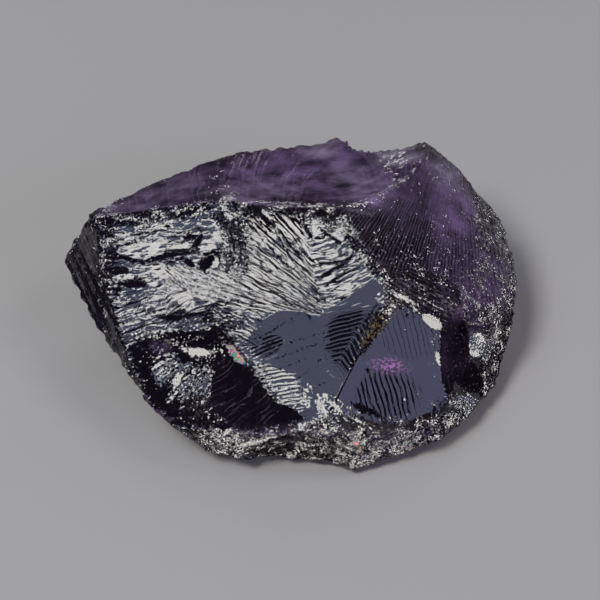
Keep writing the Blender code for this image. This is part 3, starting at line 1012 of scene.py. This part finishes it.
def carried(points):
    """what each point of the stone carries for its material"""
    spots = Spots(points)
    grain = grain_share(spots)
    film = sum(spots.patch(oval, 0.05) for oval in FILMS)
    haze_and_sheen_faces = spots.back | spots.lie_on(*EASTERN)
    front = points[:, 1] < IRON_BACK
    # glow and pink carry painted light; haze and dust carry in part a painted sheen and painted glints
    return {"grain": grain, "sparkle": sparkle_share(spots, grain), "shaded": shaded_share(spots),
            "torn": torn_share(spots),
            "brushed": np.where(spots.lie_on("west") | spots.bright_main, 0.15, 0.0),
            "painted_glow": painted_glow_share(spots), "powder": powder_share(spots, grain), "dust_and_glints": dust_and_glints_share(spots),
            "haze_and_sheen": spots.ovals(HAZE_AND_SHEEN) * haze_and_sheen_faces, "iron": spots.ovals(STAINED) * front,
            "painted_pink_glow": spots.up * spots.patch(PAINTED_PINK_GLOW, 0.6), "film": spots.up * film,
            **mirrored(spots, film)}


def add(material, kind, settings=None, **links):
    """adds a node with its settings and its links; an input is named, or numbered as in_0"""
    node = material.node_tree.nodes.new("ShaderNode" + kind)
    for key, value in (settings or {}).items():
        setattr(node, key, value)
    for key, value in links.items():
        socket = node.inputs[int(key[3:])] if key.startswith("in_") else node.inputs[key.replace("_", " ")]
        if isinstance(value, bpy.types.NodeSocket):
            material.node_tree.links.new(value, socket)
        else:
            socket.default_value = value
    return node.outputs


def srgb(code, alpha=1.0):
    """hex colour to the linear values that shaders take"""
    parts = [int(code[i:i + 2], 16) / 255 for i in (1, 3, 5)]
    linear = [p / 12.92 if p <= 0.04045 else ((p + 0.055) / 1.055) ** 2.4 for p in parts]
    return (*linear, alpha)


# Sizes in the stone's material, mm. Real crushed quartz goes down to hundredths of a millimetre, so
# its grains, specks and dots are drawn as coarse as they need to show.
COARSE_GRAIN = 0.50
FINE_GRAIN = 0.26
BUMPY_GRAIN = 0.42
BUMP_HEIGHT = 0.08
FLASHING_GRAINS = (0.20, 0.12)
RAGGED_EDGE = 0.30
SPECK = 0.30
DOT = 0.42
CLUMP = 0.7
CLOUD = 2.8
FILM_SWIRL = 0.5
# Splinters and brush marks, in widths of a line
SPLINTER = 1.0
BRUSH_MARK = 0.3
# Air in the thin cracks, nanometres from thin to thick, that gives green and magenta bands
FILM_THIN = 500.0
FILM_THICK = 880.0
# How deep the relief stays on facets that mirror the window
BRIGHT_RELIEF = 0.16
# Settings of the sums in the material
TIMES = {"operation": "MULTIPLY"}
PLUS = {"operation": "ADD"}
TIMES_PLUS = {"operation": "MULTIPLY_ADD"}


def line_share(material):
    """0 between the lines, 1 at their deepest; unruly lines wander, break off and fork"""
    place = add(material, "Attribute", {"attribute_name": "line_place"})["Vector"]
    count, run, depth = add(material, "SeparateXYZ", Vector=place)
    kind = add(material, "Attribute", {"attribute_name": "line_kind"})["Vector"]
    flat, wild, pale = add(material, "SeparateXYZ", Vector=kind)
    slow = add(material, "Math", TIMES, in_0=run, in_1=0.45)[0]
    stretched = add(material, "CombineXYZ", X=slow, Y=count)[0]
    wander = add(material, "TexNoise", Vector=stretched, Scale=0.8, Detail=2.0)[0]
    unruly = add(material, "Math", TIMES_PLUS, in_0=wild, in_1=1.6, in_2=0.5)[0]
    moved = add(material, "Math", TIMES_PLUS, in_0=unruly, in_1=wander, in_2=count)[0]
    share = add(material, "Math", {"operation": "FRACT"}, in_0=moved)[0]
    climb = add(material, "MapRange", in_0=share, in_1=flat, in_2=LINE_TOP)[0]
    back = add(material, "MapRange", in_0=share, in_1=1.0, in_2=LINE_TOP)[0]
    tooth = add(material, "Math", {"operation": "MINIMUM"}, in_0=climb, in_1=back)[0]
    gaps = add(material, "TexNoise", Vector=stretched, Scale=0.55, Detail=1.0)[0]
    kept = add(material, "MapRange", in_0=gaps, in_1=0.42, in_2=0.60)[0]
    strength = add(material, "Mix", in_0=wild, in_2=1.0, in_3=kept)[0]
    return add(material, "Math", TIMES, in_0=tooth, in_1=strength)[0], depth, pale, stretched


def relief_height(material, place, lines, grain, bright):
    """height in mm of the lines and the crushed grains, less on facets that mirror the window"""
    coarse = add(material, "TexVoronoi", Vector=place, Scale=1 / BUMPY_GRAIN)["Distance"]
    high = add(material, "Math", TIMES, in_0=coarse, in_1=BUMP_HEIGHT)[0]
    grains = add(material, "Math", TIMES, in_0=high, in_1=grain)[0]
    height = add(material, "Math", PLUS, in_0=lines, in_1=grains)[0]
    shallow = add(material, "MapRange", in_0=bright, in_3=1.0, in_4=BRIGHT_RELIEF)[0]
    return add(material, "Math", TIMES, in_0=height, in_1=shallow)[0]


def leaning(material, facing, place, size, much):
    """leans each cell of a size its own way, as much as the carried value says"""
    colour = add(material, "TexVoronoi", Vector=place, Scale=1 / size)["Color"]
    even = add(material, "VectorMath", {"operation": "SUBTRACT"}, in_0=colour,
               in_1=(0.5, 0.5, 0.5))[0]
    lean = add(material, "VectorMath", {"operation": "SCALE"}, Vector=even, Scale=much)[0]
    leant = add(material, "VectorMath", {"operation": "ADD"}, in_0=facing, in_1=lean)[0]
    return add(material, "VectorMath", {"operation": "NORMALIZE"}, in_0=leant)[0]


def turned(material, facing, much, compass, height):
    """turns the surface to mirror one direction, where much is 1"""
    target = add(material, "VectorTransform", {"vector_type": "NORMAL", "convert_from": "OBJECT",
                 "convert_to": "WORLD"}, Vector=tuple(mirror_way(compass, height)))[0]
    return add(material, "Mix", {"data_type": "VECTOR"}, in_0=much, in_4=facing, in_5=target)[1]


def flashing(material, place, sparkle):
    """1 on the few crushed grains, coarse and fine, that flash in the window light"""
    flash = 0.0
    for size in FLASHING_GRAINS:
        colour = add(material, "TexVoronoi", Vector=place, Scale=1 / size)["Color"]
        pick = add(material, "SeparateXYZ", Vector=colour)[0]
        chosen = add(material, "Math", {"operation": "LESS_THAN"}, in_0=pick, in_1=sparkle)[0]
        flash = add(material, "Math", {"operation": "MAXIMUM"}, in_0=flash, in_1=chosen)[0]
    return flash


def inside_facets(material, ragged, edge):
    """1 inside the facets of a list, 0 outside, with a broken edge"""
    edge = add(material, "Math", PLUS, in_0=edge, in_1=ragged)[0]
    return add(material, "MapRange", in_0=edge, in_1=0.04, in_2=-0.04)[0]


def facing_of(material, place, stretched, told):
    """which way each grain, splinter and small facet faces, and where the window is mirrored"""
    facing = add(material, "NewGeometry")["Normal"]
    facing = turned(material, facing, told["shaded"], *DARK_WAY)
    leans = ((stretched, SPLINTER, "torn", 0.22), (place, COARSE_GRAIN, "grain", 0.45),
             (place, FINE_GRAIN, "grain", 0.60))
    for where, size, name, most in leans:
        much = add(material, "Math", TIMES, in_0=told[name], in_1=most)[0]
        facing = leaning(material, facing, where, size, much)
    flash = flashing(material, place, told["sparkle"])
    facing = turned(material, facing, flash, *WINDOW_WAY)
    ragged = add(material, "TexNoise", Vector=place, Scale=1 / RAGGED_EDGE, Detail=3.0)[0]
    ragged = add(material, "Math", TIMES_PLUS, in_0=ragged, in_1=0.7, in_2=-0.35)[0]
    bright = inside_facets(material, ragged, told["window_edge"])
    facing = turned(material, facing, bright, *WINDOW_WAY)
    for edge, target in (("sky_edge", SKY_WAY), ("dark_edge", DARK_WAY)):
        facing = turned(material, facing, inside_facets(material, ragged, told[edge]), *target)
    facing = leaning(material, facing, stretched, BRUSH_MARK, told["brushed"])
    return facing, add(material, "Math", {"operation": "MAXIMUM"}, in_0=flash, in_1=bright)[0]


def film_thickness(material, place, film):
    """thickness in nanometres of the thin crack that shows bands of colour, 0 where there is none"""
    swirl = add(material, "TexNoise", Vector=place, Scale=1 / FILM_SWIRL, Detail=0.0)[0]
    thick = add(material, "MapRange", in_0=swirl, in_1=0.35, in_2=0.65, in_3=FILM_THIN,
                in_4=FILM_THICK)[0]
    return add(material, "Math", TIMES, in_0=film, in_1=thick)[0]


def patterns(material, place):
    """specks, clouds, clumps of powder and dots that break up the colours in the stone"""
    speckle = add(material, "TexNoise", Vector=place, Scale=1 / SPECK, Detail=3.0)[0]
    spotty = add(material, "MapRange", in_0=speckle, in_1=0.47, in_2=0.56)[0]
    cloud = add(material, "TexNoise", Vector=place, Scale=1 / CLOUD, Detail=5.0, Distortion=0.2)[0]
    cloudy = add(material, "MapRange", in_0=cloud, in_1=0.26, in_2=0.68)[0]
    clump = add(material, "TexNoise", Vector=place, Scale=1 / CLUMP, Detail=5.0)[0]
    clumped = add(material, "MapRange", in_0=clump, in_1=0.44, in_2=0.54)[0]
    powdery = add(material, "Math", TIMES, in_0=clumped, in_1=spotty)[0]
    dots = add(material, "TexVoronoi", Vector=place, Scale=1 / DOT)["Distance"]
    near_dot = add(material, "MapRange", in_0=dots, in_1=0.32, in_2=0.20)[0]
    dotted = add(material, "Math", TIMES, in_0=near_dot, in_1=spotty)[0]
    return spotty, cloudy, powdery, dotted


def body_colour(material, place, pale_line_and_highlight, told):
    """deep violet body, paler violet painted where light glows through and pink where it is reflected
    inside, paler lines, haze and dots in part painted highlights, sheen and glints, beige where crushed,
    brown with iron

    The second value says how clear the stone is there, from 0 to 1.
    """
    spotty, cloudy, powdery, dotted = patterns(material, place)
    colour = add(material, "Mix", {"data_type": "RGBA"}, in_0=pale_line_and_highlight, in_6=srgb("#2a1a38"),
                 in_7=srgb("#b59cc4"))[2]
    layers = (
        # Painted light among these: the glow and the pink; the haze and the dust are in part a painted sheen
        # and painted glints
        ("painted_glow", cloudy, "#c297da", 0.62),
        ("haze_and_sheen", cloudy, "#e0d4e4", 0.55),
        ("dust_and_glints", dotted, "#e8d4de", 0.55),
        ("powder", powdery, "#e2d3d0", 0.55),
        ("iron", spotty, "#94805c", 0.45),
        ("painted_pink_glow", spotty, "#e07fd6", 0.40),
    )
    clear = 1.0
    for name, pattern, over, seen_through in layers:
        much = add(material, "Math", TIMES, in_0=told[name], in_1=pattern)[0]
        colour = add(material, "Mix", {"data_type": "RGBA"}, in_0=much, in_6=colour,
                     in_7=srgb(over))[2]
        clear = add(material, "Mix", in_0=much, in_2=clear, in_3=seen_through)[0]
    return colour, add(material, "Math", TIMES, in_0=clear, in_1=0.8)[0]


def broken_amethyst(names):
    """amethyst: natural quartz, violet from its iron, broken by hand.

    Clear crystal, so it is see-through by transmission, IOR and absorption. Hand breaking leaves
    glassy faces with fine lines and crushed grain at the ridges and the rim. names are those of the
    values that the mesh carries.
    """
    material = bpy.data.materials.new("amethyst, hand broken")
    material.use_nodes = True
    nodes = material.node_tree.nodes
    links = material.node_tree.links
    shader = nodes["Principled BSDF"]
    shader.inputs["IOR"].default_value = 1.544
    shader.inputs["Thin Film IOR"].default_value = 1.25
    where = add(material, "TexCoord")["Object"]
    place = add(material, "VectorMath", {"operation": "SCALE"}, Vector=where, Scale=1 / METRE)[0]
    told = {name: add(material, "Attribute", {"attribute_name": name})["Fac"] for name in names}
    share, depth, pale, stretched = line_share(material)
    facing, bright = facing_of(material, place, stretched, told)
    lines = add(material, "Math", TIMES, in_0=share, in_1=depth)[0]
    height = relief_height(material, place, lines, told["grain"], bright)
    relief = add(material, "Bump", Height=height, Distance=METRE, Strength=1.0, Normal=facing)[0]
    links.new(relief, shader.inputs["Normal"])
    dull = add(material, "Math", TIMES_PLUS, in_0=told["grain"], in_1=0.08, in_2=0.04)[0]
    dull = add(material, "Math", TIMES_PLUS, in_0=told["painted_glow"], in_1=0.2, in_2=dull)[0]
    links.new(dull, shader.inputs["Roughness"])
    # Paler colour along the lines: partly their own colour, partly a painted highlight where their edges
    # catch the light
    pale_line_and_highlight = add(material, "Math", TIMES, in_0=share, in_1=pale)[0]
    colour, clear = body_colour(material, place, pale_line_and_highlight, told)
    links.new(colour, shader.inputs["Base Color"])
    links.new(clear, shader.inputs["Transmission Weight"])
    links.new(film_thickness(material, place, told["film"]), shader.inputs["Thin Film Thickness"])
    absorb = add(material, "VolumeAbsorption", Color=srgb("#a079b0"), Density=120.0)[0]
    links.new(absorb, nodes["Material Output"].inputs["Volume"])
    return material


def carry(data, name, where, values):
    """gives each point or each corner of the mesh a number or three, under a name"""
    single = values.ndim == 1
    layer = data.attributes.new(name, "FLOAT" if single else "FLOAT_VECTOR", where)
    flat = np.ascontiguousarray(values, dtype=np.float32).ravel()
    layer.data.foreach_set("value" if single else "vector", flat)


def stone():
    """the visible stone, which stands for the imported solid"""
    points, triangles = stone_shape()
    data = bpy.data.meshes.new("amethyst_stone")
    data.from_pydata((points * METRE).tolist(), [], triangles.tolist())
    data.update()
    place, kind = step_lines(points, triangles)
    carry(data, "line_place", "CORNER", place)
    carry(data, "line_kind", "CORNER", kind)
    shares = carried(points)
    for name, values in shares.items():
        carry(data, name, "POINT", values)
    piece = bpy.data.objects.new("amethyst_stone", data)
    bpy.context.scene.collection.objects.link(piece)
    data.materials.append(broken_amethyst(shares))
    data.shade_smooth()
    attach(piece, "root")
    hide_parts("amethyst")


def floor():
    """plain pale table"""
    data = bpy.data.meshes.new("floor")
    half = 3.0
    data.from_pydata([(-half, -half, 0), (half, -half, 0), (half, half, 0), (-half, half, 0)], [],
                     [(0, 1, 2, 3)])
    piece = bpy.data.objects.new("floor", data)
    bpy.context.scene.collection.objects.link(piece)
    material = bpy.data.materials.new("table, matt grey paint")
    material.use_nodes = True
    shader = material.node_tree.nodes["Principled BSDF"]
    shader.inputs["Base Color"].default_value = srgb("#c9c7c2")
    shader.inputs["Roughness"].default_value = 0.8
    data.materials.append(material)


def panel(name, compass, height, distance, size, strength, colour, roll=0):
    """soft light panel that faces the stone; compass counts from +X, all angles in degrees"""
    light = bpy.data.lights.new(name, "AREA")
    light.shape = "RECTANGLE"
    light.size, light.size_y = size
    light.energy = strength * size[0] * size[1]
    light.color = srgb(colour)[:3]
    lamp = bpy.data.objects.new(name, light)
    bpy.context.scene.collection.objects.link(lamp)
    away = Vector(way(compass, height))
    lamp.rotation_mode = "QUATERNION"
    lamp.location = away * distance
    lamp.rotation_quaternion = away.to_track_quat("Z", "Y") @ Quaternion((0, 0, 1), math.radians(roll))


def lights():
    """a bright window at the left, dim blue panels that glassy faces show, low fill for the rim"""
    panel("window", *WINDOW_WAY, 0.8, (0.26, 0.26), 37.0, "#fffdf8", 45)
    panel("ceiling_west", 186, 62, 1.1, (0.50, 0.66), 7.2, "#b9c8ee")
    panel("ceiling_east", 321, 25, 0.8, (0.46, 0.38), 7.5, "#c0c4f4")
    panel("front_fill", 274, 12, 0.9, (0.60, 0.14), 5.5, "#fff1e2")
    panel("right_fill", 8, 50, 1.0, (0.30, 0.30), 8.0, "#fff6f2")
    panel("back_fill", 75, 38, 1.1, (0.50, 0.40), 4.4, "#f4f0ff")
    world = bpy.data.worlds.new("room")
    bpy.context.scene.world = world
    world.use_nodes = True
    world.node_tree.nodes["Background"].inputs["Color"].default_value = srgb("#ffffff")
    world.node_tree.nodes["Background"].inputs["Strength"].default_value = 0.045


def camera():
    """the view of the picture, from 45 degrees above the table"""
    data = bpy.data.cameras.new("camera")
    data.sensor_width = SENSOR_WIDTH
    data.lens = SENSOR_WIDTH * FOCAL / PICTURE_WIDTH
    data.clip_start = 0.01
    eye = bpy.data.objects.new("camera", data)
    bpy.context.scene.collection.objects.link(eye)
    eye.location = (EYE * METRE).tolist()
    eye.rotation_euler = (VIEW_TILT, 0, 0)
    bpy.context.scene.camera = eye


top_breaks()
rim_breaks()
under_breaks()
stone()
floor()
lights()
camera()
bpy.context.scene.view_settings.view_transform = "Standard"
